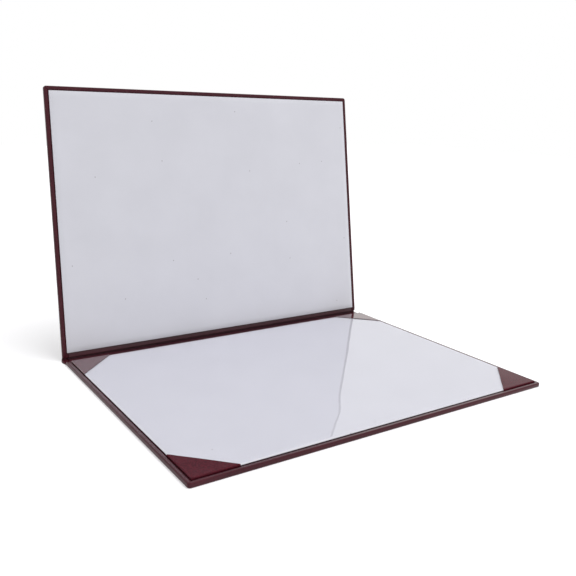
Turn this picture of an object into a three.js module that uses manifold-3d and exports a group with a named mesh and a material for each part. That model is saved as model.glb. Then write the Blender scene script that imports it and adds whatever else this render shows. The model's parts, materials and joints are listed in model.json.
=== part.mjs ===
// Diploma cover: two leatherette boards on a flat spine, opened like a tent, in millimetres with +Z up.
// The back cover lies on the table towards -Y and the front cover stands at the back and leans a little.
// Each cover is drawn in its own frame: origin on its hinge axis, +Y away from the hinge, +Z to the inside.
import * as THREE from 'three';
import { mergeVertices } from 'three/addons/utils/BufferGeometryUtils.js';
import Module from 'manifold-3d';

const wasm = await Module();
wasm.setup();

// Driving dimensions of the covers
const coverWidth = 310; // side to side, over the skin
const coverDepth = 222.8; // from the board's hinge edge to the free edge, over the skin
const cornerRadius = 3; // rounding of the free corners, seen from above
const edgeRadius = 1; // rounding of the skin over the board's edges
const skinThickness = 0.4;
const boardThickness = 1.5;
const glueLine = 0.25; // left between glued layers
const turnInWidth = 15; // skin folded over onto the inside
const openAngle = 98.8; // between the insides of the two covers

// Hinge and spine
const hingeGap = 2.7; // board's edge to the hinge axis
const hingeClearance = 0.15; // between two stretches of leatherette at an axis
const stripThickness = 0.4;
const stripLap = 15; // inner hinge strip on each board
const stripEndInset = 5; // strip's ends, short of the cover's sides
const closingClearance = 0.35; // between the closed covers

// Linings, pockets and clear sheet
const rimWidth = 3.75; // leatherette left showing round a lining
const liningThickness = 0.55;
const pocketLeg = 32.5; // pocket's edge along a side of the lining
const frontRightLeg = 36.5; // the hand-folded pocket on the right free corner comes out larger
const pocketLeather = 0.3;
const pocketTail = 9; // folded under the lining board
const tailGap = 0.1; // above and below a pocket's tail, and round the lining's edge
const sheetThickness = 0.15;
const sheetMargin = 1.2; // clear sheet, short of the lining's edges
const sheetLift = 0.1; // air under the clear sheet
const slotRoom = 0.15; // between the clear sheet and a pocket

// Front cover's padding and stamp
const padThickness = 1.2;
const padSlope = 8; // width of the crown's rounded border
const padInset = 1; // crown's border, in from the board's edges
const stampLength = 180;
const stampRule = 2.2; // line's greatest width
const middleLozenge = 18; // height of the stamp's middle lozenge
const innerLozenge = 8;
const innerPlace = 30; // from the stamp's middle
const outerLozenge = 5.5;
const outerPlace = 56;
const lozengeAspect = 0.7; // width over height
const stampThickness = 0.12;

const arcSteps = 6;
const axisHeight = skinThickness / 2; // hinge axes run in the middle of the outer skin
const outsideZ = -axisHeight;
const skinTop = outsideZ + skinThickness;
const boardBottom = skinTop + glueLine;
const boardTop = boardBottom + boardThickness;
const turnInTop = boardTop + glueLine + skinThickness;
const coverStripTop = boardTop + glueLine + stripThickness;
const rimTop = Math.max(turnInTop, coverStripTop);
const freeEdge = hingeGap + coverDepth;
const boardInset = skinThickness + glueLine;
const halfWidth = coverWidth / 2;
const stripTop = boardBottom + stripThickness;
const hemTop = skinTop + glueLine + skinThickness;
const stripHalf = halfWidth - stripEndInset;

const frontLiningBottom = rimTop + glueLine;
const backLiningBottom = rimTop + tailGap + pocketLeather + tailGap;
const backLiningTop = backLiningBottom + liningThickness;
const slotTop = backLiningTop + sheetLift + sheetThickness + slotRoom;
const pocketTop = slotTop + pocketLeather;
const frontLiningTop = frontLiningBottom + liningThickness;
const spineWidth = pocketTop + frontLiningTop + closingClearance;

const burgundy = { color: 0x58222c, roughness: 0.5, metalness: 0 };
const white = { color: 0xdcdce4, roughness: 0.7, metalness: 0 };
const greyboard = { color: 0x9a8f80, roughness: 0.9, metalness: 0 };
const foam = { color: 0xe8e6de, roughness: 0.95, metalness: 0 };
const clearFilm = { color: 0xf4f6f8, roughness: 0.08, metalness: 0, transparent: true, opacity: 0.25 };
const goldFoil = { color: 0x8f6a3c, roughness: 0.35, metalness: 0.8 };

function solidOf(geometry) {
  geometry.deleteAttribute('normal');
  geometry.deleteAttribute('uv');
  const merged = mergeVertices(geometry);
  return new wasm.Manifold(new wasm.Mesh({
    numProp: 3,
    vertProperties: new Float32Array(merged.attributes.position.array),
    triVerts: new Uint32Array(merged.index.array),
  }));
}

function geometryOf(solid) {
  const mesh = solid.getMesh();
  const geometry = new THREE.BufferGeometry();
  geometry.setAttribute('position', new THREE.BufferAttribute(new Float32Array(mesh.vertProperties), 3));
  geometry.setIndex(new THREE.BufferAttribute(new Uint32Array(mesh.triVerts), 1));
  return geometry;
}

// A plate between two heights, from an outline in X and Y
function plate(outline, bottom, top) {
  const shape = new THREE.Shape(outline);
  const geometry = new THREE.ExtrudeGeometry(shape, { depth: top - bottom, bevelEnabled: false });
  return geometry.translate(0, 0, bottom);
}

function rectangle(x0, x1, y0, y1) {
  return [[x0, y0], [x1, y0], [x1, y1], [x0, y1]].map(([x, y]) => new THREE.Vector2(x, y));
}

// A bar along X, from a section given as pairs of Y and Z
function barAlongX(section, half) {
  const shape = new THREE.Shape(section.map(([y, z]) => new THREE.Vector2(y, z)));
  const geometry = new THREE.ExtrudeGeometry(shape, { depth: 2 * half, bevelEnabled: false });
  return geometry.applyMatrix4(new THREE.Matrix4().set(
    0, 0, 1, -half,
    1, 0, 0, 0,
    0, 1, 0, 0,
    0, 0, 0, 1,
  ));
}

// Square at the hinge and rounded at the two free corners
function coverOutline(half, hingeY, freeY, radius) {
  const points = [new THREE.Vector2(-half, hingeY), new THREE.Vector2(half, hingeY)];
  [[half - radius, 0], [radius - half, Math.PI / 2]].forEach(([x, start]) => {
    for (let step = 0; step <= arcSteps; step += 1) {
      const turn = start + (step / arcSteps) * (Math.PI / 2);
      points.push(new THREE.Vector2(x + radius * Math.cos(turn), freeY - radius + radius * Math.sin(turn)));
    }
  });
  return points;
}

// A closed body lofted through outlines of equal point count, each with its own height
function loft(levels) {
  const count = levels[0].outline.length;
  const positions = levels.flatMap(({ outline, z }) => outline.flatMap((point) => [point.x, point.y, z]));
  const faces = [];
  for (let level = 0; level + 1 < levels.length; level += 1) {
    for (let k = 0; k < count; k += 1) {
      const a = level * count + k;
      const b = level * count + ((k + 1) % count);
      faces.push(a, b, b + count, a, b + count, a + count);
    }
  }
  const last = (levels.length - 1) * count;
  THREE.ShapeUtils.triangulateShape(levels[0].outline, []).forEach(([a, b, c]) => {
    faces.push(c, b, a);
    faces.push(last + a, last + b, last + c);
  });
  const geometry = new THREE.BufferGeometry();
  geometry.setAttribute('position', new THREE.Float32BufferAttribute(positions, 3));
  geometry.setIndex(faces);
  return geometry;
}

// A slab with three rounded edges, the fourth square at the hinge
function roundedSlab({ inset, hingeY, bottom, top, radius }) {
  const level = (turn, edge, sign) => ({
    outline: coverOutline(
      halfWidth - inset - radius * (1 - Math.sin(turn)),
      hingeY,
      freeEdge - inset - radius * (1 - Math.sin(turn)),
      cornerRadius - inset - radius * (1 - Math.sin(turn)),
    ),
    z: edge + sign * radius * (1 - Math.cos(turn)),
  });
  const turns = Array.from({ length: arcSteps + 1 }, (_, step) => (step / arcSteps) * (Math.PI / 2));
  return solidOf(loft([
    ...turns.map((turn) => level(turn, bottom, 1)),
    ...turns.reverse().map((turn) => level(turn, top, -1)),
  ]));
}

// The flat stretch of skin at the hinge, its two ends turned in as hems as wide as the strip leaves
function hemmedSkin(y0, y1) {
  const hemHeight = (hemTop - outsideZ) / 2;
  const hemInner = glueLine / 2;
  const hemEnd = stripHalf + glueLine;
  const arcCentre = halfWidth - hemHeight;
  const side = (sign, radius, from, to) => {
    const points = [];
    for (let step = 0; step <= 2 * arcSteps; step += 1) {
      const turn = from + (step / (2 * arcSteps)) * (to - from);
      points.push([sign * (arcCentre + radius * Math.cos(turn)), outsideZ + hemHeight + radius * Math.sin(turn)]);
    }
    return points;
  };
  const quarter = Math.PI / 2;
  const section = [
    ...side(1, hemHeight, -quarter, quarter),
    [hemEnd, hemTop],
    [hemEnd, hemTop - skinThickness],
    ...side(1, hemInner, quarter, -quarter),
    ...side(-1, hemInner, -quarter, quarter),
    [-hemEnd, hemTop - skinThickness],
    [-hemEnd, hemTop],
    ...side(-1, hemHeight, quarter, -quarter),
  ];
  const shape = new THREE.Shape(section.map(([x, z]) => new THREE.Vector2(x, z)));
  const geometry = new THREE.ExtrudeGeometry(shape, { depth: y1 - y0, bevelEnabled: false });
  geometry.rotateX(Math.PI / 2).translate(0, y1, 0);
  return solidOf(geometry);
}

// Cuts a bevel beside a hinge axis at Y = y, so that two stretches can fold to a right angle
function bevelled(solid, y, side) {
  const reach = 2 * Math.max(stripTop, hemTop);
  const cut = barAlongX([
    [y - side * reach, -reach],
    [y + side * hingeClearance, -reach],
    [y + side * hingeClearance, 0],
    [y + side * (hingeClearance + reach), reach],
    [y - side * reach, reach],
  ], coverWidth);
  return solid.subtract(solidOf(cut));
}

// Crown over the pad, seen from inside: a low mound that rises past the outside face, shifted along Z
function crown(shift) {
  const height = padThickness + glueLine;
  const level = (share, z) => ({
    outline: coverOutline(
      halfWidth - boardInset - padInset - share * padSlope,
      hingeGap + padInset + share * padSlope,
      freeEdge - boardInset - padInset - share * padSlope,
      cornerRadius,
    ),
    z: z + shift,
  });
  const shares = Array.from({ length: arcSteps + 1 }, (_, step) => 1 - step / arcSteps);
  return solidOf(loft([
    ...shares.map((share) => level(share, outsideZ - height * Math.sin(share * Math.PI / 2))),
    level(0, outsideZ + glueLine / 2),
  ]));
}

// The turned-in skin leaves the middle of the board bare, and makes room for the hinge strip
function insideWindow() {
  const bare = plate(
    rectangle(turnInWidth - halfWidth, halfWidth - turnInWidth, 0, freeEdge - turnInWidth),
    boardTop,
    rimTop + skinThickness,
  );
  const strip = plate(
    rectangle(-stripHalf - glueLine, stripHalf + glueLine, 0, hingeGap + stripLap + glueLine),
    boardTop,
    rimTop + skinThickness,
  );
  return solidOf(bare).add(solidOf(strip));
}

function coverSkin(padded) {
  const envelope = roundedSlab({
    inset: 0,
    hingeY: hingeGap,
    bottom: outsideZ,
    top: turnInTop,
    radius: edgeRadius,
  });
  const boardRoom = roundedSlab({
    inset: skinThickness,
    hingeY: 0,
    bottom: skinTop,
    top: boardTop + glueLine,
    radius: edgeRadius - skinThickness,
  });
  const tongue = solidOf(plate(
    rectangle(edgeRadius - halfWidth, halfWidth - edgeRadius, hingeGap / 2, hingeGap + edgeRadius),
    outsideZ,
    skinTop,
  ));
  let solid = padded ? envelope.add(crown(0)) : envelope;
  solid = solid.subtract(boardRoom).subtract(insideWindow());
  if (padded) solid = solid.subtract(crown(skinThickness));
  return geometryOf(bevelled(solid.add(tongue).add(hemmedSkin(0, hingeGap)), 0, 1));
}

function padGeometry() {
  const below = solidOf(plate(
    rectangle(-coverWidth, coverWidth, -coverDepth, 2 * coverDepth),
    outsideZ - 2 * padThickness,
    boardBottom - glueLine,
  ));
  return geometryOf(crown(skinThickness + glueLine).intersect(below));
}

function boardGeometry() {
  return geometryOf(roundedSlab({
    inset: boardInset,
    hingeY: hingeGap,
    bottom: boardBottom,
    top: boardTop,
    radius: edgeRadius - boardInset,
  }));
}

// Inner hinge strip of a cover: on the board, down its edge and on to the axis
function coverStrip() {
  const drop = hingeGap - glueLine;
  const section = [
    [0, boardBottom],
    [drop, boardBottom],
    [drop, boardTop + glueLine],
    [hingeGap + stripLap, boardTop + glueLine],
    [hingeGap + stripLap, coverStripTop],
    [drop - stripThickness, coverStripTop],
    [drop - stripThickness, stripTop],
    [0, stripTop],
  ];
  return geometryOf(bevelled(solidOf(barAlongX(section, stripHalf)), 0, 1));
}

function spineSkin() {
  const solid = bevelled(hemmedSkin(-spineWidth, 0), 0, -1);
  return geometryOf(bevelled(solid, -spineWidth, 1));
}

function spineStrip() {
  const section = [
    [-spineWidth, boardBottom],
    [0, boardBottom],
    [0, stripTop],
    [-spineWidth, stripTop],
  ];
  const solid = bevelled(solidOf(barAlongX(section, stripHalf)), 0, -1);
  return geometryOf(bevelled(solid, -spineWidth, 1));
}

const liningHalf = halfWidth - rimWidth;
const liningHingeEdge = hingeGap + rimWidth;
const liningFreeEdge = freeEdge - rimWidth;

function liningGeometry(bottom) {
  return plate(
    rectangle(-liningHalf, liningHalf, liningHingeEdge, liningFreeEdge),
    bottom,
    bottom + liningThickness,
  );
}

function clearSheet() {
  const bottom = backLiningTop + sheetLift;
  return plate(
    rectangle(
      sheetMargin - liningHalf,
      liningHalf - sheetMargin,
      liningHingeEdge + sheetMargin,
      liningFreeEdge - sheetMargin,
    ),
    bottom,
    bottom + sheetThickness,
  );
}

// A pocket in its own frame: the lining's corner at the origin, its sides along +X and +Y
function cornerPocket(leg) {
  const outside = -tailGap - pocketLeather;
  const triangle = [[outside, outside], [leg, outside], [outside, leg]];
  const body = solidOf(plate(
    triangle.map(([x, y]) => new THREE.Vector2(x, y)),
    rimTop + tailGap,
    pocketTop,
  ));
  const slot = solidOf(plate(
    rectangle(-tailGap, 2 * leg, -tailGap, 2 * leg),
    backLiningBottom - tailGap,
    slotTop,
  ));
  const betweenTails = solidOf(plate(
    rectangle(pocketTail, 2 * leg, pocketTail, 2 * leg),
    rimTop,
    backLiningBottom,
  ));
  return geometryOf(body.subtract(slot).subtract(betweenTails));
}

// A tapered line with lozenges along it, pressed on the outside of the front cover
function stampGeometry() {
  const lozenge = (at, width, height) => solidOf(plate(
    [[width / 2, 0], [0, height / 2], [-width / 2, 0], [0, -height / 2]]
      .map(([x, y]) => new THREE.Vector2(at + x, y)),
    0,
    stampThickness,
  ));
  let solid = lozenge(0, stampLength, stampRule);
  const lozenges = [[0, middleLozenge], [innerPlace, innerLozenge], [outerPlace, outerLozenge]];
  lozenges.forEach(([at, height]) => {
    [at, -at].forEach((place) => {
      solid = solid.add(lozenge(place, lozengeAspect * height, height));
    });
  });
  return geometryOf(solid);
}

function piece(name, geometry, look) {
  const mesh = new THREE.Mesh(geometry, new THREE.MeshStandardMaterial(look));
  mesh.name = name;
  return mesh;
}

function buildBackCover() {
  const cover = new THREE.Group();
  cover.add(
    piece('back_cover_skin', coverSkin(false), burgundy),
    piece('back_board', boardGeometry(), greyboard),
    piece('back_hinge_strip', coverStrip(), burgundy),
    piece('back_lining', liningGeometry(backLiningBottom), white),
    piece('clear_sheet', clearSheet(), clearFilm),
  );
  const corners = [
    ['hinge_right', pocketLeg, -liningHalf, liningHingeEdge, 0],
    ['hinge_left', pocketLeg, liningHalf, liningHingeEdge, Math.PI / 2],
    ['front_left', pocketLeg, liningHalf, liningFreeEdge, Math.PI],
    ['front_right', frontRightLeg, -liningHalf, liningFreeEdge, -Math.PI / 2],
  ];
  corners.forEach(([place, leg, x, y, turn]) => {
    const pocket = piece(`corner_pocket_${place}`, cornerPocket(leg), burgundy);
    pocket.position.set(x, y, 0);
    pocket.rotation.z = turn;
    cover.add(pocket);
  });
  return cover;
}

function buildSpine() {
  const spine = new THREE.Group();
  spine.add(piece('spine_skin', spineSkin(), burgundy), piece('spine_strip', spineStrip(), burgundy));
  return spine;
}

function buildFrontCover() {
  const cover = new THREE.Group();
  cover.add(
    piece('front_cover_skin', coverSkin(true), burgundy),
    piece('front_board', boardGeometry(), greyboard),
    piece('front_hinge_strip', coverStrip(), burgundy),
    piece('front_pad', padGeometry(), foam),
    piece('front_lining', liningGeometry(frontLiningBottom), white),
  );
  const stamp = piece('foil_stamp', stampGeometry(), goldFoil);
  const crownZ = outsideZ - padThickness - glueLine;
  stamp.position.set(0, hingeGap + coverDepth / 2, crownZ - glueLine - stampThickness);
  cover.add(stamp);
  return cover;
}

const diplomaCover = new THREE.Group();
const backCover = buildBackCover();
backCover.position.set(0, -spineWidth, axisHeight);
backCover.rotation.z = Math.PI;
const spine = buildSpine();
spine.position.z = axisHeight;
const frontCover = buildFrontCover();
frontCover.position.z = axisHeight;
frontCover.rotation.x = THREE.MathUtils.degToRad(180 - openAngle);
diplomaCover.add(backCover, spine, frontCover);

// The origin is on the table, under the middle of the open cover
const extent = new THREE.Box3().setFromObject(diplomaCover, true);
diplomaCover.position.y = -(extent.min.y + extent.max.y) / 2;

export default diplomaCover;
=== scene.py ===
import json
import math
import bmesh
import bpy
from mathutils import Matrix, Vector, noise


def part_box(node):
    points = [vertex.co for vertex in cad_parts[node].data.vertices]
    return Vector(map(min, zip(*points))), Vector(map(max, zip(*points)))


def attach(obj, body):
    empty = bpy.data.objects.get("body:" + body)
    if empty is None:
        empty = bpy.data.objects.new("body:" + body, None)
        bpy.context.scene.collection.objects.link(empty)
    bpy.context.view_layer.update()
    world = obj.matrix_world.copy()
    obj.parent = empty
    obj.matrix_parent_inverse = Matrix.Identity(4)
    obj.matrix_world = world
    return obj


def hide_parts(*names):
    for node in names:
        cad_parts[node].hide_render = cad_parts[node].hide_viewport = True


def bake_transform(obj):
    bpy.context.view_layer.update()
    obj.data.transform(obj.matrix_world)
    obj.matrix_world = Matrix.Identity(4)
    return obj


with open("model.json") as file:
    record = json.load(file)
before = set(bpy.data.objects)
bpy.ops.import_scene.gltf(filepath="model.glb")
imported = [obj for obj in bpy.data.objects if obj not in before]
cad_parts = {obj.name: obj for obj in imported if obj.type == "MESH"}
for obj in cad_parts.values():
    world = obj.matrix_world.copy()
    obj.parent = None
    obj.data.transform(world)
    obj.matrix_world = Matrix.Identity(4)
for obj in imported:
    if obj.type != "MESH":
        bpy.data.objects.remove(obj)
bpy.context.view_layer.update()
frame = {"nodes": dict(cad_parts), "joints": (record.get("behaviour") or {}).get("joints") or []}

# A landscape diploma cover in burgundy leatherette, open like a tent.
# Each cover has its own frame, in millimetres:
# x along the hinge, s away from the hinge axis, h to the inside.
mm = 0.001
joints = {joint["name"]: joint for joint in frame["joints"]}
backAxis = Vector(joints["back_joint"]["pos_m"])
frontAxis = Vector(joints["front_joint"]["pos_m"])
standAngle = math.radians(-joints["front_joint"]["range_deg"][0])  # front cover's turn from lying flat
spineHalf = (frontAxis.y - backAxis.y) / mm / 2
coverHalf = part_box("back_cover_skin")[1].x / mm
freeEdge = (backAxis.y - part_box("back_cover_skin")[0].y) / mm
print("frame loaded, cover", round(2 * coverHalf), "x", round(freeEdge, 1), "mm")


def hexColour(code):
    channels = [int(code[k:k + 2], 16) / 255 for k in (0, 2, 4)]
    return tuple(c / 12.92 if c <= 0.04045 else ((c + 0.055) / 1.055) ** 2.4 for c in channels) + (1.0,)


def addNode(tree, kind, settings=None, inputs=None):
    # settings are the node's own options; each input is a plain value or a socket that feeds it
    node = tree.nodes.new(kind)
    for name, value in (settings or {}).items():
        setattr(node, name, value)
    for key, value in (inputs or {}).items():
        if isinstance(value, bpy.types.NodeSocket):
            tree.links.new(value, node.inputs[key])
        else:
            node.inputs[key].default_value = value
    return node


def maths(tree, operation, *terms, clamp=False):
    settings = {"operation": operation, "use_clamp": clamp}
    return addNode(tree, "ShaderNodeMath", settings, dict(enumerate(terms))).outputs["Value"]


def remap(tree, value, start, end, low=0.0, high=1.0, kind="LINEAR"):
    node = addNode(tree, "ShaderNodeMapRange", {"interpolation_type": kind},
                   {"Value": value, "From Min": start, "From Max": end, "To Min": low, "To Max": high})
    return node.outputs["Result"]


def mixColours(tree, share, first, second):
    # 0, 6 and 7 are the colour mix's own inputs, and 2 its output
    inputs = {0: share, 6: first, 7: second}
    return addNode(tree, "ShaderNodeMix", {"data_type": "RGBA"}, inputs).outputs[2]


def addBump(tree, height, strength, distance):
    inputs = {"Height": height, "Strength": strength, "Distance": distance}
    return addNode(tree, "ShaderNodeBump", None, inputs).outputs["Normal"]


def wire(tree, shader, sockets):
    for name, socket in sockets.items():
        tree.links.new(socket, shader.inputs[name])


def smooth(t):
    t = min(max(t, 0.0), 1.0)
    return t * t * (3 - 2 * t)


def unevenness(x, s, size, seed):
    # soft rise and fall between -1 and 1, size is the width of one wave in millimetres
    return noise.noise(Vector((x / size, s / size, seed)))


# where a cover's own frame lies in the part's frame
hinge = {
    "fold": 1.71,  # the leatherette bends this far either side of a hinge axis
    "bendFrom": 0.80,  # the bend follows the front joint from here, measured up the front cover
    "bendTo": 2.05,
}


def onBack(x, s, h):
    return Vector((-x * mm, backAxis.y - s * mm, backAxis.z + h * mm))


def onFront(x, s, h):
    k = hinge["fold"]
    bend = k / math.tan(standAngle / 2)
    if s <= -k:
        y, z = s, h
    elif s >= k:
        y = s * math.cos(standAngle) - h * math.sin(standAngle)
        z = s * math.sin(standAngle) + h * math.cos(standAngle)
    else:
        turn = standAngle * (s + k) / (2 * k)
        y = -k + (bend - h) * math.sin(turn)
        z = bend - (bend - h) * math.cos(turn)
    return Vector((x * mm, frontAxis.y + y * mm, frontAxis.z + z * mm))


def newObject(name, data):
    made = bpy.data.objects.new(name, data)
    bpy.context.scene.collection.objects.link(made)
    return made


def newPiece(name, points, faces, material=None):
    mesh = bpy.data.meshes.new(name)
    mesh.from_pydata([tuple(p) for p in points], [], faces)
    mesh.validate()
    if material:
        mesh.materials.append(material)
    return newObject(name, mesh)


def gridFaces(rows, width, first=0):
    # one face between each four neighbours of a grid of points, stored row by row
    faces = []
    for i in range(rows - 1):
        for j in range(width - 1):
            a = first + i * width + j
            faces.append((a, a + width, a + width + 1, a + 1))
    return faces


def weld(piece, distance=1e-6, outward=False):
    work = bmesh.new()
    work.from_mesh(piece.data)
    bmesh.ops.remove_doubles(work, verts=work.verts, dist=distance)
    bmesh.ops.dissolve_degenerate(work, edges=work.edges, dist=distance)
    if outward:
        bmesh.ops.recalc_face_normals(work, faces=work.faces)
    work.to_mesh(piece.data)
    work.free()


def settle(piece, sharpAngle=42):
    # turns what the modifiers make into the piece's own plain mesh
    graph = bpy.context.evaluated_depsgraph_get()
    made = bpy.data.meshes.new_from_object(piece.evaluated_get(graph))
    piece.modifiers.clear()
    piece.data = made
    made.name = piece.name
    made.polygons.foreach_set("use_smooth", [True] * len(made.polygons))
    made.set_sharp_from_angle(angle=math.radians(sharpAngle))
    return piece


def thicken(piece, thickness):
    # wall grows away from the face's front, so the drawn surface stays the outer one
    wall = piece.modifiers.new("wall", "SOLIDIFY")
    wall.thickness = thickness * mm
    wall.offset = -1
    wall.use_even_offset = True
    wall.use_quality_normals = True


def setInputs(modifier, values):
    for item in modifier.node_group.interface.items_tree:
        if item.item_type == "SOCKET" and item.in_out == "INPUT" and item.name in values:
            modifier[item.identifier] = values[item.name]


def newTree(name, inputs):
    tree = bpy.data.node_groups.new(name, "GeometryNodeTree")
    tree.interface.new_socket("Geometry", in_out="INPUT", socket_type="NodeSocketGeometry")
    for label, kind in inputs:
        tree.interface.new_socket(label, in_out="INPUT", socket_type=kind)
    tree.interface.new_socket("Geometry", in_out="OUTPUT", socket_type="NodeSocketGeometry")
    start = tree.nodes.new("NodeGroupInput")
    end = tree.nodes.new("NodeGroupOutput")
    return tree, start.outputs, end.inputs


def finishTree(tree, geometry, given, result):
    real = addNode(tree, "GeometryNodeRealizeInstances", None, {"Geometry": geometry})
    dressed = addNode(tree, "GeometryNodeSetMaterial", None,
                      {"Geometry": real.outputs["Geometry"], "Material": given["Material"]})
    tree.links.new(dressed.outputs["Geometry"], result["Geometry"])


def newMaterial(name):
    material = bpy.data.materials.new(name)
    material.use_nodes = True
    tree = material.node_tree
    tree.nodes.clear()
    shader = tree.nodes.new("ShaderNodeBsdfPrincipled")
    end = tree.nodes.new("ShaderNodeOutputMaterial")
    tree.links.new(shader.outputs["BSDF"], end.inputs["Surface"])
    place = addNode(tree, "ShaderNodeTexCoord").outputs["Object"]
    return material, tree, shader, place


leatherette = {
    "colour": "481B24",  # burgundy PVC
    "valleyShade": "35141C",  # painted shade: a darker colour in the grain's valleys
    "worn": "5A2831",  # rubbed a little paler in patches
    "roughness": 0.36,
    "gloss": 0.18,  # low: only the coat shines
    "coat": 0.8,
    "coatRoughness": 0.22,
    "strip": "43222A",  # the hinge strips are a duller cut
    "stripRoughness": 0.44,
    "stripGloss": 0.5,
    "pebble": 0.9,  # mm, one pebble of the embossed grain
    "crease": 2.34,  # mm, the creases between groups of pebbles
    "patch": 55,  # mm, soft cloudy patches
    "grainDepth": 0.025,  # mm
}


def leatheretteMaterial(name, base, roughness, gloss):
    # PVC-coated cloth, calendered and embossed with a fine grain: the eye sees a satin sheen
    material, tree, shader, place = newMaterial(name)
    # the real pebbles are about 0.4 mm wide; they are drawn about twice as wide, so that they show
    pebbles = addNode(tree, "ShaderNodeTexVoronoi", {"feature": "SMOOTH_F1"},
                      {"Scale": 1 / (leatherette["pebble"] * mm), "Smoothness": 0.35, "Vector": place})
    creases = addNode(tree, "ShaderNodeTexNoise", None,
                      {"Scale": 1 / (leatherette["crease"] * mm), "Detail": 4.0, "Roughness": 0.6,
                       "Vector": place})
    patches = addNode(tree, "ShaderNodeTexNoise", None,
                      {"Scale": 1 / (leatherette["patch"] * mm), "Detail": 3.0, "Roughness": 0.5,
                       "Vector": place})
    # painted shade: the colour darkens towards the grain's valleys, between the pebbles
    shadeInValleys = remap(tree, pebbles.outputs["Distance"], 0.25, 0.7, 0.0, 0.7)
    rubbed = remap(tree, patches.outputs["Fac"], 0.5, 0.75, 0.0, 0.35)
    body = mixColours(tree, shadeInValleys, hexColour(base), hexColour(leatherette["valleyShade"]))
    colour = mixColours(tree, rubbed, body, hexColour(leatherette["worn"]))
    satin = remap(tree, creases.outputs["Fac"], 0.3, 0.7, roughness - 0.05, roughness + 0.06)
    relief = maths(tree, "MULTIPLY_ADD", creases.outputs["Fac"], 0.6, pebbles.outputs["Distance"])
    bump = addBump(tree, relief, 0.35, leatherette["grainDepth"] * mm)
    wire(tree, shader, {"Base Color": colour, "Roughness": satin, "Normal": bump})
    shader.inputs["Specular IOR Level"].default_value = gloss
    shader.inputs["IOR"].default_value = 1.5
    return material, tree, shader, place


def addGlaze(tree, slant, start, end, most):
    # a plasticised top, which shows at a low angle only
    return remap(tree, slant.outputs["Facing"], start, end, 0.0, most, "SMOOTHSTEP")


def coverMaterial():
    # the covers' skin: embossed, with a satin top that catches light at a low angle
    material, tree, shader = leatheretteMaterial(
        "embossed PVC leatherette", leatherette["colour"], leatherette["roughness"],
        leatherette["gloss"])[:3]
    slant = addNode(tree, "ShaderNodeLayerWeight", None, {"Blend": 0.5})
    glaze = addGlaze(tree, slant, 0.40, 0.60, leatherette["coat"])
    # hands polish the faces; the covers' short side edges stay dull
    normal = addNode(tree, "ShaderNodeTexCoord").outputs["Normal"]
    split = addNode(tree, "ShaderNodeSeparateXYZ", None, {"Vector": normal})
    aside = maths(tree, "ABSOLUTE", split.outputs["X"])
    handled = remap(tree, aside, 0.3, 0.8, 1.0, 0.0)
    coat = maths(tree, "MULTIPLY", glaze, handled)
    wire(tree, shader, {"Coat Weight": coat})
    shader.inputs["Coat Roughness"].default_value = leatherette["coatRoughness"]
    return material


smoothLeatherette = {
    "colour": "5A1C28",
    "roughness": 0.2,
    "gloss": 0.06,
    "coat": 0.12,
    "coatIor": 2.8,  # above PVC's 1.5: the pockets at the hinge are glassy
    "coatRoughness": 0.06,
    "polish": 0.02,  # m, the polish fades this far either side of the part's middle
}


def pocketMaterial():
    # smoother leatherette: near the hinge the sheet that slides over it has polished it,
    # elsewhere it is duller
    material, tree, shader, place = leatheretteMaterial(
        "smooth PVC leatherette", smoothLeatherette["colour"], smoothLeatherette["roughness"],
        smoothLeatherette["gloss"])
    split = addNode(tree, "ShaderNodeSeparateXYZ", None, {"Vector": place})
    polished = remap(tree, split.outputs["Y"], -smoothLeatherette["polish"],
                     smoothLeatherette["polish"])
    slant = addNode(tree, "ShaderNodeLayerWeight", None, {"Blend": 0.5})
    glaze = addGlaze(tree, slant, 0.56, 0.72, smoothLeatherette["coat"])
    shine = remap(tree, slant.outputs["Facing"], 0.64, 0.74, 0.72, 1.0)
    mirrored = maths(tree, "MULTIPLY", polished, shine)
    coat = maths(tree, "MAXIMUM", mirrored, glaze)
    wire(tree, shader, {"Coat Weight": coat})
    shader.inputs["Coat IOR"].default_value = smoothLeatherette["coatIor"]
    shader.inputs["Coat Roughness"].default_value = smoothLeatherette["coatRoughness"]
    return material


coverLeatherette = coverMaterial()
stripLeatherette = leatheretteMaterial("matt PVC leatherette", leatherette["strip"],
                                       leatherette["stripRoughness"], leatherette["stripGloss"])[0]
pocketLeatherette = pocketMaterial()

paper = {
    "colour": "D9D9E0",  # white paper, a trace of lavender
    "shade": "D0D0D7",
    "speck": "A9A6AC",
    "fibre": 1.6,  # mm
    "cloud": 38,  # mm
    "speckSpacing": 62,  # mm
    "speckSize": 1.0,  # mm
}


def paperMaterial():
    # coated white paper on thin board: calendered smooth, matt, with a few faint specks
    material, tree, shader, place = newMaterial("white lining paper")
    clouds = addNode(tree, "ShaderNodeTexNoise", None,
                     {"Scale": 1 / (paper["cloud"] * mm), "Detail": 3.0, "Vector": place})
    fibres = addNode(tree, "ShaderNodeTexNoise", None,
                     {"Scale": 1 / (paper["fibre"] * mm), "Detail": 5.0, "Roughness": 0.65,
                      "Vector": place})
    # this map is in metres over the sheet
    sheetMap = addNode(tree, "ShaderNodeUVMap", {"uv_map": "sheet"}).outputs["UV"]
    cells = addNode(tree, "ShaderNodeTexVoronoi", {"feature": "F1", "voronoi_dimensions": "2D"},
                    {"Scale": 1 / (paper["speckSpacing"] * mm), "Vector": sheetMap})
    dot = maths(tree, "LESS_THAN", cells.outputs["Distance"],
                paper["speckSize"] / paper["speckSpacing"] / 2)
    base = mixColours(tree, clouds.outputs["Fac"], hexColour(paper["colour"]),
                      hexColour(paper["shade"]))
    colour = mixColours(tree, dot, base, hexColour(paper["speck"]))
    gloss = remap(tree, fibres.outputs["Fac"], 0.3, 0.7, 0.52, 0.62)
    bump = addBump(tree, fibres.outputs["Fac"], 0.15, 0.02 * mm)
    wire(tree, shader, {"Base Color": colour, "Roughness": gloss, "Normal": bump})
    return material


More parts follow.
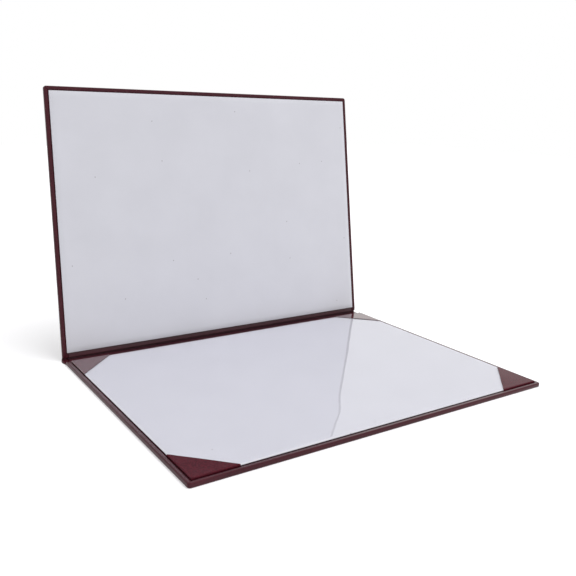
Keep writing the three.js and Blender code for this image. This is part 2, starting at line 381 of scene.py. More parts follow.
# the hidden board and foam, and the foil: lengths in millimetres
greyBoard = {"colour": "A2968A", "shade": "83786C", "fleck": 2.2, "relief": 0.05, "roughness": 0.9}
foam = {"colour": "E9E4D4", "shade": "CFC8B4", "cell": 0.8, "relief": 0.15, "roughness": 0.95}
goldFoil = {"colour": "A27A45", "shade": "7A5634", "grain": 1.1, "relief": 0.03}


def boardMaterial():
    # grey bookbinding board: pressed from waste paper, flecked and dull
    material, tree, shader, place = newMaterial("greyboard")
    flecks = addNode(tree, "ShaderNodeTexNoise", None,
                     {"Scale": 1 / (greyBoard["fleck"] * mm), "Detail": 6.0, "Roughness": 0.7,
                      "Vector": place})
    colour = mixColours(tree, flecks.outputs["Fac"], hexColour(greyBoard["colour"]),
                        hexColour(greyBoard["shade"]))
    bump = addBump(tree, flecks.outputs["Fac"], 0.3, greyBoard["relief"] * mm)
    wire(tree, shader, {"Base Color": colour, "Normal": bump})
    shader.inputs["Roughness"].default_value = greyBoard["roughness"]
    return material


def foamMaterial():
    # thin polyurethane foam, foamed in a slab and sliced: cream, with small open cells
    material, tree, shader, place = newMaterial("padding foam")
    cells = addNode(tree, "ShaderNodeTexVoronoi", {"feature": "F1"},
                    {"Scale": 1 / (foam["cell"] * mm), "Vector": place})
    colour = mixColours(tree, cells.outputs["Distance"], hexColour(foam["colour"]),
                        hexColour(foam["shade"]))
    bump = addBump(tree, cells.outputs["Distance"], 0.5, foam["relief"] * mm)
    wire(tree, shader, {"Base Color": colour, "Normal": bump})
    shader.inputs["Roughness"].default_value = foam["roughness"]
    return material


def foilMaterial():
    # hot-stamped foil: an aluminium film lacquered gold, dulled by the grain it is pressed into
    material, tree, shader, place = newMaterial("gold stamping foil")
    grain = addNode(tree, "ShaderNodeTexNoise", None,
                    {"Scale": 1 / (goldFoil["grain"] * mm), "Detail": 4.0, "Roughness": 0.65,
                     "Vector": place})
    colour = mixColours(tree, grain.outputs["Fac"], hexColour(goldFoil["colour"]),
                        hexColour(goldFoil["shade"]))
    gloss = remap(tree, grain.outputs["Fac"], 0.3, 0.7, 0.3, 0.46)
    bump = addBump(tree, grain.outputs["Fac"], 0.3, goldFoil["relief"] * mm)
    wire(tree, shader, {"Base Color": colour, "Roughness": gloss, "Normal": bump})
    shader.inputs["Metallic"].default_value = 1.0
    return material


clearFilm = {
    "ior": 1.5,
    "roughness": 0.025,
    "tint": "FEFEFF",
    "ripple": 24,  # mm
    "faces": 1.55,  # both faces of the film mirror
}


def filmMaterial():
    # clear PVC film, rolled glassy: it passes nearly all light, and mirrors at a low angle
    material = bpy.data.materials.new("clear PVC film")
    material.use_nodes = True
    tree = material.node_tree
    tree.nodes.clear()
    through = addNode(tree, "ShaderNodeBsdfTransparent", None, {"Color": hexColour(clearFilm["tint"])})
    place = addNode(tree, "ShaderNodeTexCoord").outputs["Object"]
    ripple = addNode(tree, "ShaderNodeTexNoise", None,
                     {"Scale": 1 / (clearFilm["ripple"] * mm), "Detail": 1.0, "Vector": place})
    bump = addBump(tree, ripple.outputs["Fac"], 0.3, 0.15 * mm)
    mirror = addNode(tree, "ShaderNodeBsdfAnisotropic", None,
                     {"Roughness": clearFilm["roughness"], "Normal": bump})
    rise = addNode(tree, "ShaderNodeFresnel", None, {"IOR": clearFilm["ior"]})
    facing = addNode(tree, "ShaderNodeNewGeometry")
    front = maths(tree, "SUBTRACT", 1.0, facing.outputs["Backfacing"])
    both = maths(tree, "MULTIPLY", rise.outputs["Fac"], clearFilm["faces"])
    glint = maths(tree, "MULTIPLY", both, front, clamp=True)
    # it casts no shadow on the lining, and light off the lining passes it whole
    ray = addNode(tree, "ShaderNodeLightPath")
    lamp = maths(tree, "MAXIMUM", ray.outputs["Is Shadow Ray"], ray.outputs["Is Diffuse Ray"])
    seen = maths(tree, "SUBTRACT", 1.0, lamp)
    share = maths(tree, "MULTIPLY", glint, seen)
    mix = addNode(tree, "ShaderNodeMixShader", None,
                  {0: share, 1: through.outputs["BSDF"], 2: mirror.outputs["BSDF"]})
    end = tree.nodes.new("ShaderNodeOutputMaterial")
    tree.links.new(mix.outputs["Shader"], end.inputs["Surface"])
    return material


liningPaper = paperMaterial()
greyboard = boardMaterial()
paddingFoam = foamMaterial()
stampingFoil = foilMaterial()
clearPvc = filmMaterial()
print("materials made")


# leatherette skins: one folded sheet each, turned in over three edges
# d is the distance from the cover's edge, and lengths are in millimetres here and below

skin = {
    "thickness": 0.4,
    "cornerRadius": 2.2,
    "cornerStep": 7.5,  # degrees
    "edgeRadius": 0.9,
    "edgeSteps": 6,  # points round a quarter turn
    "edgeShare": 0.47,  # a thin edge is rounded over this share of its height
    "outside": -0.2,  # h of the outside face
    "rimTop": 2.6,  # h of the turned-in skin on the board
    "hemTop": 0.85,  # h of the hem at the spine
    "hemEnd": 1.9,  # s where the skin begins to climb from the hem to the board
    "hemClimb": 0.9,  # and how long it climbs
    "hemBulge": 1.2,  # the hem swells out at the middle of the spine
    "hemReach": 7.5,  # and that far either side of it
    "hemDepth": 9,  # d where the swelling has faded
    "turnIn": 15.0,
    "boardStart": 2.7,  # the board's hinge edge
    "faceFrom": 12.0,  # from here inwards the outside face is filled
    "evenFrom": 19,  # from here on the points along the sides are evenly spaced
    "sideSteps": 36,
    "freeSteps": 52,
    "bead": 0.6,  # the turned-in skin swells this much along the edge
    "beadStart": 2.4,  # s where the swelling starts
    "beadClimb": 2.5,
    "beadTo": 3.35,  # d where it ends
    "beadSlope": 0.9,
    "mitreDepth": 0.28,
    "creaseDepth": 0.14,  # the mitre goes on down the corner's side
    "stripTuck": 0.42,  # near the hinge the turn-in is tucked this far under the strip
    "tuckStart": 4.25,
    "tuckSlope": 0.9,
    "tuckTo": 16,  # s where the strip ends
    "tuckFade": 3,
    "uneven": 0.05,  # the folded edge wanders this much
    "wander": 23,
    "wanderTo": 2,
}
crown = {
    "height": 1.45,  # pad and glue under the front cover's skin
    "border": 1.65,  # flat border between the cover's edge and the crown's foot
    "slope": 8.0,
    "uneven": 0.35,
    "wave": 70,
    "seed": 4.0,
}

insideSteps = [skin["turnIn"], 12.5, 10.5, 9, 7.5, 6.2, 5.4, 5.0, 4.6, 4.2,
               3.75, 3.35, 3.1, 2.85, 2.6, 2.4, 1.9, 1.5, 1.2]
outsideSteps = [1.25, 1.65, 2.2, 2.8, 3.5, 4.3, 5.2, 6.2, 7.3, 8.5, 10, skin["faceFrom"]]
hingeSteps = [-spineHalf, -3.5, -3.0, -2.6, -2.25, -1.95, -1.71, -1.45, -1.2, -0.95, -0.7, -0.45, -0.2,
              0.05, 0.3, 0.55, 0.8, 1.05, 1.3, 1.5, 1.71, 1.85, 2.0, 2.12, 2.24, 2.36, 2.48, 2.6,
              2.75, 2.95, 3.3, 4, 5.5, 8, 11, 14, 16, 17.5, skin["evenFrom"]]


def skinHeight(s):
    climb = smooth((s - skin["hemEnd"]) / skin["hemClimb"])
    return skin["hemTop"] + (skin["rimTop"] - skin["hemTop"]) * climb


def skinProfile(s):
    # pairs of d and h, from the turn-in's inner edge over the rim to the outside face
    flat = skinHeight(s)
    bead = skin["bead"] * smooth((s - skin["beadStart"]) / skin["beadClimb"])
    top = flat + bead
    radius = min(skin["edgeRadius"], skin["edgeShare"] * (top - skin["outside"]))
    nearHinge = 1 - smooth((s - skin["tuckTo"]) / skin["tuckFade"])
    turns = [math.pi / 2 * k / skin["edgeSteps"] for k in range(skin["edgeSteps"] + 1)]
    points = []
    for d in insideSteps:
        tucked = skin["stripTuck"] * nearHinge * smooth((d - skin["tuckStart"]) / skin["tuckSlope"])
        points.append((d, flat + bead * smooth((skin["beadTo"] - d) / skin["beadSlope"]) - tucked))
    for turn in turns:
        points.append((radius * (1 - math.sin(turn)), top - radius * (1 - math.cos(turn))))
    for turn in turns:
        points.append((radius * (1 - math.cos(turn)), skin["outside"] + radius * (1 - math.sin(turn))))
    points += [(d, skin["outside"]) for d in outsideSteps]
    return points


def skinStations():
    # round the cover's outline: up one side, round a corner, along the free edge, and back down
    start, count = skin["evenFrom"], skin["sideSteps"]
    end = freeEdge - skin["cornerRadius"]
    places = hingeSteps + [start + (end - start) * (k + 1) / count for k in range(count - 1)]
    arc = [skin["cornerStep"] * k for k in range(round(90 / skin["cornerStep"]) + 1)]
    half = coverHalf - skin["cornerRadius"]
    across = [half - (2 * half) * (k + 1) / skin["freeSteps"] for k in range(skin["freeSteps"] - 1)]
    stations = [("side", 1, s) for s in places]
    stations += [("corner", 1, a) for a in arc]
    stations += [("free", 0, x) for x in across]
    stations += [("corner", -1, 90 - a) for a in arc]
    stations += [("side", -1, s) for s in reversed(places)]
    return stations


def stationPoint(station, d):
    # place of a point d inside the outline, and its share of a corner's mitre
    kind, sign, value = station
    r = skin["cornerRadius"]
    if kind == "side":
        fixed = skin["evenFrom"]
        s = value
        if s > fixed:
            s = fixed + (s - fixed) * (freeEdge - r - d - fixed) / (freeEdge - r - fixed)
        return sign * (coverHalf - d), s, 0.0
    if kind == "free":
        return value * (coverHalf - r - d) / (coverHalf - r), freeEdge - d, 0.0
    turn = math.radians(value)
    rounded = (coverHalf - r + r * math.cos(turn), freeEdge - r + r * math.sin(turn))
    inset = max(d, r)
    if value < 45:
        sharp = (coverHalf - inset, freeEdge - inset - r * (1 - value / 45))
    else:
        sharp = (coverHalf - inset - r * (value - 45) / 45, freeEdge - inset)
    share = min(d / r, 1.0)
    x = rounded[0] + (sharp[0] - rounded[0]) * share
    s = rounded[1] + (sharp[1] - rounded[1]) * share
    return sign * x, s, max(0.0, 1 - abs(value - 45) / skin["cornerStep"])


def skinSheet(name, place):
    stations = skinStations()
    overEdge = len(insideSteps) + skin["edgeSteps"] // 2
    points, insets, faces = [], [], []
    for station in stations:
        along = station[2] if station[0] == "side" else freeEdge
        profile = skinProfile(along)
        bulge = skin["hemBulge"] * smooth(1 - abs(along + spineHalf) / skin["hemReach"])
        for index, (d, h) in enumerate(profile):
            x, s, mitre = stationPoint(station, d)
            if mitre and index < overEdge:
                h -= skin["mitreDepth"] * mitre
            elif mitre and d < insideSteps[-1]:
                x -= math.copysign(skin["creaseDepth"] * mitre, x)
                s -= skin["creaseDepth"] * mitre
            if station[0] == "side":
                x += station[1] * bulge * smooth(1 - d / skin["hemDepth"])
            if d < skin["wanderTo"]:
                x += skin["uneven"] * unevenness(x, s, skin["wander"], 3.7)
            points.append(place(x, s, h))
            outer = index >= len(profile) - len(outsideSteps)
            insets.append(min(d, max(s - skin["boardStart"], 0)) if outer else 0.0)
    width = len(skinProfile(0))
    for i in range(len(stations) - 1):
        for j in range(width - 1):
            a = i * width + j
            faces.append((a, a + 1, a + width + 1, a + width))
    # the outside face, a grid whose border is the last point of each station
    last = [i * width + width - 1 for i in range(len(stations))]
    rows = [i for i, station in enumerate(stations) if station[0] == "side" and station[1] == 1]
    corner = [i for i, station in enumerate(stations) if station[0] == "corner" and station[1] == 1]
    rows += corner[:len(corner) // 2 + 1]
    columns = [last[i] for i in range(rows[-1], len(stations) - rows[-1])]
    grid = []
    for i in rows[:-1]:
        right, left = last[i], last[len(stations) - 1 - i]
        s = stationPoint(stations[i], skin["faceFrom"])[1]
        line = [right]
        for station in stations[rows[-1] + 1:len(stations) - 1 - rows[-1]]:
            x = stationPoint(station, skin["faceFrom"])[0]
            line.append(len(points))
            points.append(place(x, s, skin["outside"]))
            insets.append(max(min(coverHalf - abs(x), freeEdge - s, s - skin["boardStart"]), 0))
        grid.append(line + [left])
    grid.append(columns)
    for low, high in zip(grid, grid[1:]):
        for j in range(len(low) - 1):
            faces.append((low[j], low[j + 1], high[j + 1], high[j]))
    piece = newPiece(name, points, faces)
    inset = piece.data.attributes.new("inset", "FLOAT", "POINT")
    inset.data.foreach_set("value", [d * mm for d in insets])
    weld(piece, outward=True)
    return piece


def crownTree():
    # raises the outside face into a low padded crown, by its distance from the board's edge
    tree, given, result = newTree("padded face", [
        ("Crown Height", "NodeSocketFloat"), ("Border", "NodeSocketFloat"),
        ("Slope", "NodeSocketFloat"), ("Outward", "NodeSocketVector"),
        ("Unevenness", "NodeSocketFloat"), ("Wave", "NodeSocketFloat"),
        ("Seed", "NodeSocketFloat"), ("Material", "NodeSocketMaterial")])
    inset = addNode(tree, "GeometryNodeInputNamedAttribute", {"data_type": "FLOAT"}, {"Name": "inset"})
    past = maths(tree, "SUBTRACT", inset.outputs["Attribute"], given["Border"])
    share = maths(tree, "DIVIDE", past, given["Slope"], clamp=True)
    quarter = maths(tree, "MULTIPLY", share, math.pi / 2)
    rounded = maths(tree, "SINE", quarter)
    height = maths(tree, "MULTIPLY", rounded, given["Crown Height"])
    frequency = maths(tree, "DIVIDE", 1.0, given["Wave"])
    where = addNode(tree, "GeometryNodeInputPosition")
    waves = addNode(tree, "ShaderNodeTexNoise", {"noise_dimensions": "4D"},
                    {"Detail": 1.0, "Vector": where.outputs["Position"], "W": given["Seed"],
                     "Scale": frequency})
    centred = maths(tree, "SUBTRACT", waves.outputs["Fac"], 0.5)
    swell = maths(tree, "MULTIPLY", centred, given["Unevenness"])
    total = maths(tree, "MULTIPLY_ADD", swell, share, height)
    move = addNode(tree, "ShaderNodeVectorMath", {"operation": "SCALE"},
                   {0: given["Outward"], "Scale": total})
    raised = addNode(tree, "GeometryNodeSetPosition", None,
                     {"Geometry": given["Geometry"], "Offset": move.outputs["Vector"]})
    finishTree(tree, raised.outputs["Geometry"], given, result)
    return tree


paddedFace = crownTree()


def dressSkin(piece, height, outward, uneven):
    face = piece.modifiers.new("padded face", "NODES")
    face.node_group = paddedFace
    setInputs(face, {
        "Crown Height": height * mm, "Border": crown["border"] * mm, "Slope": crown["slope"] * mm,
        "Outward": outward, "Unevenness": uneven * mm, "Wave": crown["wave"] * mm,
        "Seed": crown["seed"], "Material": coverLeatherette})
    thicken(piece, skin["thickness"])
    return settle(piece)


frontOutward = Vector((0, math.sin(standAngle), -math.cos(standAngle)))
backSkin = dressSkin(skinSheet("back_leatherette", onBack), 0.0, Vector((0, 0, -1)), 0.0)
frontSkin = dressSkin(skinSheet("front_leatherette", onFront), crown["height"], frontOutward,
                      crown["uneven"])
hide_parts("back_cover_skin", "spine_skin")
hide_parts("front_cover_skin")
print("skins made", len(backSkin.data.polygons), len(frontSkin.data.polygons))


# inner hinge strip: glued on both boards, down their edges and across the spine

strip = {
    "half": 150.0,
    "columns": 60,
    "thickness": 0.4,
    "floor": 0.85,  # h on the spine
    "ridge": 0.12,  # its ends lie on the turned-in skin, and stand up a little
    "ridgeFrom": 0.955,  # as a share of its half length
    "ridgeClimb": 0.03,
    "cut": 0.35,  # its ends are cut by hand, this far out
    "wave": 0.05,  # it is never pressed quite flat
    "waveFrom": -3,
    # s and h, up the board's edge and over onto the board
    "climb": [(1.25, 0.86), (1.48, 0.90), (1.66, 0.99), (1.78, 1.13), (1.86, 1.35), (1.91, 1.6),
              (1.96, 1.85), (2.03, 2.08), (2.14, 2.29), (2.3, 2.46), (2.5, 2.57), (2.75, 2.62),
              (3.1, 2.63), (3.6, 2.61), (4.5, 2.6), (6, 2.6), (8, 2.6), (12, 2.6), (17.5, 2.6)],
}


def hingeStrip(name, place):
    columns = [-1 + 2 * k / strip["columns"] for k in range(strip["columns"] + 1)]
    ends = [0.9, 0.94, 0.97, 0.985, 0.995]
    columns = sorted(set(columns) | set(ends) | {-e for e in ends})
    level = [-spineHalf, -3.4, -2.8, -2.25, -1.95, -1.71, -1.4, -1.1, -0.8, -0.5, -0.2,
             0.1, 0.4, 0.7, 1.0]
    section = [(s, strip["floor"]) for s in level] + strip["climb"]
    points = []
    for share in columns:
        for s, h in section:
            x = share * (strip["half"] + strip["cut"] * unevenness(share * 3, s, 6, 1.3))
            lift = strip["ridge"] * smooth((abs(share) - strip["ridgeFrom"]) / strip["ridgeClimb"])
            wave = strip["wave"] * unevenness(x, s * 4, 14, 8.1) if s > strip["waveFrom"] else 0
            points.append(place(x, s, h + lift + wave))
    piece = newPiece(name, points, gridFaces(len(columns), len(section)), stripLeatherette)
    thicken(piece, strip["thickness"])
    return settle(piece)


backStrip = hingeStrip("back_inner_strip", onBack)
frontStrip = hingeStrip("front_inner_strip", onFront)
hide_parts("back_hinge_strip", "spine_strip")
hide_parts("front_hinge_strip")
print("hinge strips made")


# white linings

lining = {
    "half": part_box("back_lining")[1].x / mm,
    "from": (backAxis.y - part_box("back_lining")[1].y) / mm,
    "to": (backAxis.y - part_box("back_lining")[0].y) / mm,
    "across": 60,
    "along": 44,
    "thickness": 0.55,
    "backTop": 3.65,
    "frontTop": 3.4,
    "backUneven": 0.04,
    "frontUneven": 0.12,  # the standing cover's board bows a little more
    "wave": 80,
    "edge": 0.16,
}


def liningBoard(name, place, top, uneven, offset):
    # offset moves the map of the specks, so that the two linings differ
    across, along = lining["across"], lining["along"]
    points = []
    for i in range(across + 1):
        for j in range(along + 1):
            x = lining["half"] * (2 * i / across - 1)
            s = lining["from"] + (lining["to"] - lining["from"]) * j / along
            points.append(place(x, s, top + uneven * unevenness(x, s, lining["wave"], 5.2)))
    piece = newPiece(name, points, gridFaces(across + 1, along + 1), liningPaper)
    sheetMap = piece.data.uv_layers.new(name="sheet")
    for loop in piece.data.loops:
        i, j = divmod(loop.vertex_index, along + 1)
        sheetMap.data[loop.index].uv = (2 * lining["half"] * mm * i / across,
                                        (lining["to"] - lining["from"]) * mm * j / along + offset)
    thicken(piece, lining["thickness"])
    edge = piece.modifiers.new("cut edge", "BEVEL")
    edge.width = lining["edge"] * mm
    edge.segments = 2
    edge.angle_limit = math.radians(60)
    return settle(piece, 75)


backLining = liningBoard("back_lining_board", onBack, lining["backTop"], lining["backUneven"], 1.0)
frontLining = liningBoard("front_lining_board", onFront, lining["frontTop"], lining["frontUneven"], 0.0)
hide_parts("back_lining")
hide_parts("front_lining")
print("linings made")


# clear sheet over the back lining, its corners in the pockets

clearSheet = {
    "across": 140,
    "along": 102,
    "margin": 1.2,
    "bottom": 3.75,
    "thickness": 0.15,
    "wave": 0.32,  # mm, the film is never quite flat
    "waveWidth": 95,  # mm
    "heldWithin": 48,  # mm, flat where a pocket holds it
    # x, s, height and reach of its bows near the free edge
    "swells": [(15, 199, 0.27, 18), (64, 224, 0.46, 22)],
}


def clearSheetPiece():
    across, along = clearSheet["across"], clearSheet["along"]
    half = lining["half"] - clearSheet["margin"]
    low, high = lining["from"] + clearSheet["margin"], lining["to"] - clearSheet["margin"]
    points = []
    for i in range(across + 1):
        for j in range(along + 1):
            x = half * (2 * i / across - 1)
            s = low + (high - low) * j / along
            corner = math.hypot(half - abs(x), min(s - low, high - s))
            free = smooth(corner / clearSheet["heldWithin"] - 0.35)
            wave = 0.5 + unevenness(x * 0.8, s, clearSheet["waveWidth"], 9.4)
            rise = clearSheet["wave"] * free * max(wave, 0)
            for placeX, placeS, height, reach in clearSheet["swells"]:
                away = math.hypot(x - placeX, s - placeS) / reach
                rise += height * math.exp(-away * away)
            points.append(onBack(x, s, clearSheet["bottom"] + clearSheet["thickness"] + rise))
    piece = newPiece("clear_film", points, gridFaces(across + 1, along + 1), clearPvc)
    thicken(piece, clearSheet["thickness"])
    return settle(piece)


film = clearSheetPiece()
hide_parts("clear_sheet")
print("clear sheet made")


# corner pockets: a triangle of leatherette folded round each corner of the back lining

pocket = {
    "leg": 32.5,
    "largerLeg": 36.5,  # on the right free corner
    "steps": 16,
    "foldSteps": 5,
    "thickness": 0.3,
    "outside": 0.4,  # the pocket's sides stand this far outside the lining
    "top": 4.35,
    "bottom": 2.72,
    "tail": 8.5,
    "foldRadius": 0.42,
    "lift": 0.16,  # the open edge lifts a little in its middle
    "edgeDrop": 0.10,  # and its last row turns down
    "slack": 0.02,  # the open edge bows in by this much a row
}


def pocketSheet():
    # corner of the lining at the origin, its sides along +X and +Y
    r, out, bottom = pocket["foldRadius"], pocket["outside"], pocket["bottom"]
    steps = pocket["steps"]
    # offset from the side and height, from the top face over the fold, down the side and under
    fold = []
    for k in range(1, pocket["foldSteps"] + 1):
        turn = math.pi / 2 * k / pocket["foldSteps"]
        fold.append((-out + r * (1 - math.sin(turn)), pocket["top"] - r * (1 - math.cos(turn))))
    fold += [(-out, 3.5), (-out, 3.0), (-out + 0.08, 2.8), (-out + 0.25, bottom),
             (0.6, bottom), (4, bottom), (pocket["tail"], bottom)]
    start = -out + r
    points = []
    count = steps + 1 + 2 * len(fold)
    for i in range(steps + 1):
        t = i / steps
        end = pocket["leg"] - pocket["slack"] * i
        edgeDrop = pocket["edgeDrop"] if i == steps else 0.0
        for offset, h in reversed(fold):
            points.append((offset + (end - offset) * t, offset, h))
        for j in range(steps + 1):
            q = j / steps
            span = start + (end - start) * t
            x = start + (span - start) * (1 - q)
            y = start + (span - start) * q
            lift = pocket["lift"] * t * t * math.sin(math.pi * q) ** 2
            points.append((x, y, pocket["top"] + lift - edgeDrop * math.sin(math.pi * q) ** 0.5))
        for offset, h in fold:
            points.append((offset, offset + (end - offset) * t, h))
    piece = newPiece("corner_pockets", [Vector(p) * mm for p in points], gridFaces(steps + 1, count))
    weld(piece)
    # the top face looks up, so that the wall grows inwards
    work = bmesh.new()
    work.from_mesh(piece.data)
    above = [face for face in work.faces if face.calc_center_median().z > 4 * mm]
    if sum(face.normal.z * face.calc_area() for face in above) < 0:
        bmesh.ops.reverse_faces(work, faces=work.faces)
    work.to_mesh(piece.data)
    work.free()
    return piece


def cornersTree():
    # sets one copy on each corner of a rectangle, turned to face its middle
    tree, given, result = newTree("one on each corner", [
        ("Width", "NodeSocketFloat"), ("Depth", "NodeSocketFloat"),
        ("Middle", "NodeSocketVector"), ("Larger Corner", "NodeSocketFloat"),
        ("Material", "NodeSocketMaterial")])
    frameGrid = addNode(tree, "GeometryNodeMeshGrid", None,
                        {"Vertices X": 2, "Vertices Y": 2, "Size X": given["Width"],
                         "Size Y": given["Depth"]})
    where = addNode(tree, "GeometryNodeInputPosition")
    split = addNode(tree, "ShaderNodeSeparateXYZ", None, {"Vector": where.outputs["Position"]})
    signX = maths(tree, "SIGN", split.outputs["X"])
    signY = maths(tree, "SIGN", split.outputs["Y"])
    turn = maths(tree, "ARCTAN2", signY, signX)
    facing = maths(tree, "ADD", turn, math.radians(135))
    rotation = addNode(tree, "ShaderNodeCombineXYZ", None, {"Z": facing})
    # handmade, so the pocket on the right free corner is a little larger
    right = maths(tree, "GREATER_THAN", split.outputs["X"], 0.0)
    free = maths(tree, "LESS_THAN", split.outputs["Y"], 0.0)
    both = maths(tree, "MULTIPLY", right, free)
    size = maths(tree, "MULTIPLY_ADD", both, given["Larger Corner"], 1.0)
    scale = addNode(tree, "ShaderNodeCombineXYZ", None, {"Z": 1.0, "X": size, "Y": size})
    copies = addNode(tree, "GeometryNodeInstanceOnPoints", None,
                     {"Points": frameGrid.outputs["Mesh"], "Instance": given["Geometry"],
                      "Rotation": rotation.outputs["Vector"], "Scale": scale.outputs["Vector"]})
    moved = addNode(tree, "GeometryNodeTransform", None,
                    {"Geometry": copies.outputs["Instances"], "Translation": given["Middle"]})
    finishTree(tree, moved.outputs["Geometry"], given, result)
    return tree


pockets = pocketSheet()
corners = pockets.modifiers.new("corners", "NODES")
corners.node_group = cornersTree()
setInputs(corners, {
    "Width": 2 * lining["half"] * mm, "Depth": (lining["to"] - lining["from"]) * mm,
    "Middle": onBack(0, (lining["from"] + lining["to"]) / 2, 0),
    "Larger Corner": pocket["largerLeg"] / pocket["leg"] - 1, "Material": pocketLeatherette})
thicken(pockets, pocket["thickness"])
settle(pockets)
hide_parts("corner_pocket_hinge_left", "corner_pocket_hinge_right",
            "corner_pocket_front_left", "corner_pocket_front_right")
print("pockets made", len(pockets.data.polygons))


# foil stamp on the outside: a tapered line with lozenges

stamp = {
    "middle": (lining["from"] + lining["to"]) / 2 - 2,
    "sink": 0.03,  # pressed this far into the face
    "height": 0.12,
    "step": 0.004,  # each mark stands this much prouder than the last, so that none share a face
    "edge": 0.04,
    # x, width and height
    "marks": [(0, 180, 2.2), (0, 12.6, 18), (30, 5.6, 8), (-30, 5.6, 8), (56, 3.85, 5.5),
              (-56, 3.85, 5.5)],
}


def stampTree():
    # sets a lozenge on each point, stretched to the point's own width and height
    tree, given, result = newTree("lozenges on a line", [
        ("Thickness", "NodeSocketFloat"), ("Material", "NodeSocketMaterial")])
    lozenge = addNode(tree, "GeometryNodeMeshCylinder", {"fill_type": "NGON"},
                      {"Vertices": 4, "Radius": 0.5, "Depth": given["Thickness"]})
    size, turned = [addNode(tree, "GeometryNodeInputNamedAttribute", {"data_type": "FLOAT_VECTOR"},
                            {"Name": name}).outputs["Attribute"] for name in ("markSize", "markTurn")]
    copies = addNode(tree, "GeometryNodeInstanceOnPoints", None,
                     {"Points": given["Geometry"], "Instance": lozenge.outputs["Mesh"],
                      "Rotation": turned, "Scale": size})
    finishTree(tree, copies.outputs["Instances"], given, result)
    return tree


def stampPiece():
    level = skin["outside"] - crown["height"] - stamp["height"] / 2 + stamp["sink"]
    points = [onFront(mark[0], stamp["middle"], level - stamp["step"] * k)
              for k, mark in enumerate(stamp["marks"])]
    piece = newPiece("foil_lozenges", points, [])
    piece.data.attributes.new("markSize", "FLOAT_VECTOR", "POINT").data.foreach_set(
        "vector", [v for x, width, height in stamp["marks"] for v in (width * mm, height * mm, 1.0)])
    piece.data.attributes.new("markTurn", "FLOAT_VECTOR", "POINT").data.foreach_set(
        "vector", [v for mark in stamp["marks"] for v in (standAngle, 0.0, 0.0)])
    marks = piece.modifiers.new("marks", "NODES")
    marks.node_group = stampTree()
    setInputs(marks, {"Thickness": stamp["height"] * mm, "Material": stampingFoil})
    edge = piece.modifiers.new("pressed edge", "BEVEL")
    edge.width = stamp["edge"] * mm
    edge.segments = 2
    return settle(piece, 30)


foil = stampPiece()
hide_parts("foil_stamp")
print("stamp made")


# foam pad between the front board and its skin, hidden by the skin

pad = {
    "across": 48,
    "along": 36,
    "start": 1.0,  # from the board's hinge edge
    "flat": 0.17,  # h of its face on the board
    "skinRoom": 0.2,  # the skin and its glue take this much of the crown
}


def padPiece():
    low, high = skin["boardStart"] + pad["start"], freeEdge - crown["border"]
    half = coverHalf - crown["border"]
    rows, width = pad["across"] + 1, pad["along"] + 1
    points = []
    for side in (0, 1):
        for i in range(rows):
            for j in range(width):
                x = half * math.sin(math.pi / 2 * (2 * i / pad["across"] - 1))
                sideways = math.sin(math.pi / 2 * (2 * j / pad["along"] - 1))
                s = (low + high) / 2 + (high - low) / 2 * sideways
                inset = min(half - abs(x), s - low, high - s)
                rise = crown["height"] * math.sin(math.pi / 2 * min(max(inset / crown["slope"], 0), 1))
                points.append(onFront(x, s, pad["flat"] - side * max(rise - pad["skinRoom"], 0)))
    faces = gridFaces(rows, width) + [quad[::-1] for quad in gridFaces(rows, width, rows * width)]
    piece = newPiece("foam_pad", points, faces, paddingFoam)
    weld(piece, 1e-5, outward=True)
    return settle(piece)


foamPad = padPiece()
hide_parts("front_pad")

for node in ("back_board", "front_board"):
    slots = frame["nodes"][node].material_slots
    for k in range(len(slots)):
        slots[k].material = greyboard
print("pad and boards made")


# what each piece moves with

for piece in (backSkin, backStrip):
    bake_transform(piece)
for piece in (frontSkin, frontStrip):
    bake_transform(piece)
for piece in (backLining, film, pockets):
    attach(piece, "back_cover")
for piece in (frontLining, foil, foamPad):
    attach(piece, "front_cover")


# floor, light and camera, with lengths in metres

studio = {
    "floorSize": 6.0,
    "floor": "E6E6E8",
    "lift": 0.38,  # glow that only the eye sees: the bare floor turns white and the shadow stays
    "world": 0.6,  # the light from all round, as it falls on the cover
    "sun": 1.58,
    "sunTowards": (-0.35, 0.30, -0.89),
    "sunSpread": 48,  # degrees, as soft as a large diffuser
    "side": 1.2,
    "sideFrom": (0.85, -0.35, 0.5),
    "sideTo": (0.1, 0.05, 0.1),
    "sideSize": 0.7,
}


def seenByEye(tree):
    # 1 for rays from the camera and for those that a surface mirrors or lets through, else 0
    ray = addNode(tree, "ShaderNodeLightPath")
    seen = maths(tree, "MAXIMUM", ray.outputs["Is Camera Ray"], ray.outputs["Is Glossy Ray"])
    return maths(tree, "MAXIMUM", seen, ray.outputs["Is Transmission Ray"])


def makeFloor():
    half = studio["floorSize"] / 2
    corners = [(-half, -half, 0), (half, -half, 0), (half, half, 0), (-half, half, 0)]
    floor = newPiece("studio_floor", corners, [(0, 1, 2, 3)])
    material = bpy.data.materials.new("pale studio floor")
    material.use_nodes = True
    tree = material.node_tree
    tree.nodes.clear()
    paint = addNode(tree, "ShaderNodeBsdfDiffuse", None, {"Color": hexColour(studio["floor"])})
    strength = maths(tree, "MULTIPLY", seenByEye(tree), studio["lift"])
    glow = addNode(tree, "ShaderNodeEmission", None, {"Strength": strength})
    both = addNode(tree, "ShaderNodeAddShader", None,
                   {0: paint.outputs["BSDF"], 1: glow.outputs["Emission"]})
    end = tree.nodes.new("ShaderNodeOutputMaterial")
    tree.links.new(both.outputs["Shader"], end.inputs["Surface"])
    floor.data.materials.append(material)


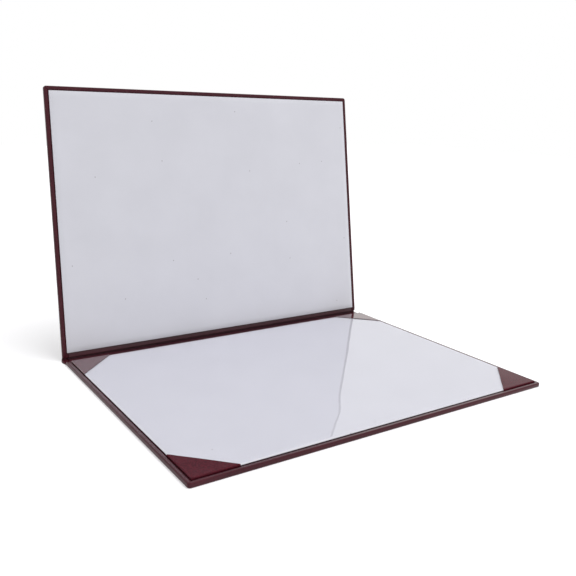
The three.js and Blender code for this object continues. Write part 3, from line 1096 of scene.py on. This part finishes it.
def makeWorld():
    world = bpy.data.worlds.new("studio")
    bpy.context.scene.world = world
    world.use_nodes = True
    tree = world.node_tree
    tree.nodes.clear()
    strength = remap(tree, seenByEye(tree), 0.0, 1.0, studio["world"], 1.0)
    sky = addNode(tree, "ShaderNodeBackground", None, {"Color": (1, 1, 1, 1), "Strength": strength})
    end = tree.nodes.new("ShaderNodeOutputWorld")
    tree.links.new(sky.outputs["Background"], end.inputs["Surface"])


def softSun():
    light = bpy.data.lights.new("diffused_sun", "SUN")
    light.energy = studio["sun"]
    light.angle = math.radians(studio["sunSpread"])
    sun = newObject("diffused_sun", light)
    sun.rotation_euler = Vector(studio["sunTowards"]).to_track_quat("-Z", "Y").to_euler()
    sun.visible_glossy = False


def softbox():
    light = bpy.data.lights.new("side_light", "AREA")
    light.shape = "SQUARE"
    light.size = studio["sideSize"]
    light.energy = studio["side"]
    box = newObject("side_light", light)
    box.location = studio["sideFrom"]
    aim = Vector(studio["sideTo"]) - Vector(studio["sideFrom"])
    box.rotation_euler = aim.to_track_quat("-Z", "Y").to_euler()
    box.visible_camera = False
    box.visible_glossy = False


makeFloor()
makeWorld()
softSun()
softbox()

# solved from the cover's outlines in the photo: metres, degrees and a lens in millimetres
photoCamera = {
    "place": (-0.3204, -0.4646, 0.2115),
    "azimuth": -33.59,
    "pitch": -10.61,
    "roll": -1.79,
    "lens": 44.63,
    "shift": (0.0200, -0.0806),
}
lens = bpy.data.cameras.new("photo_camera")
lens.sensor_width = 36
lens.lens = photoCamera["lens"]
lens.shift_x, lens.shift_y = photoCamera["shift"]
lens.clip_start = 0.01
camera = newObject("photo_camera", lens)
turn = (Matrix.Rotation(math.radians(photoCamera["azimuth"]), 4, "Z")
        @ Matrix.Rotation(math.radians(photoCamera["pitch"]), 4, "X")
        @ Matrix.Rotation(math.radians(photoCamera["roll"]), 4, "Y")
        @ Matrix.Rotation(math.pi / 2, 4, "X"))
camera.matrix_world = Matrix.Translation(photoCamera["place"]) @ turn
bpy.context.scene.camera = camera
bpy.context.scene.view_settings.view_transform = "Standard"
print("studio made")

bpy.context.view_layer.update()
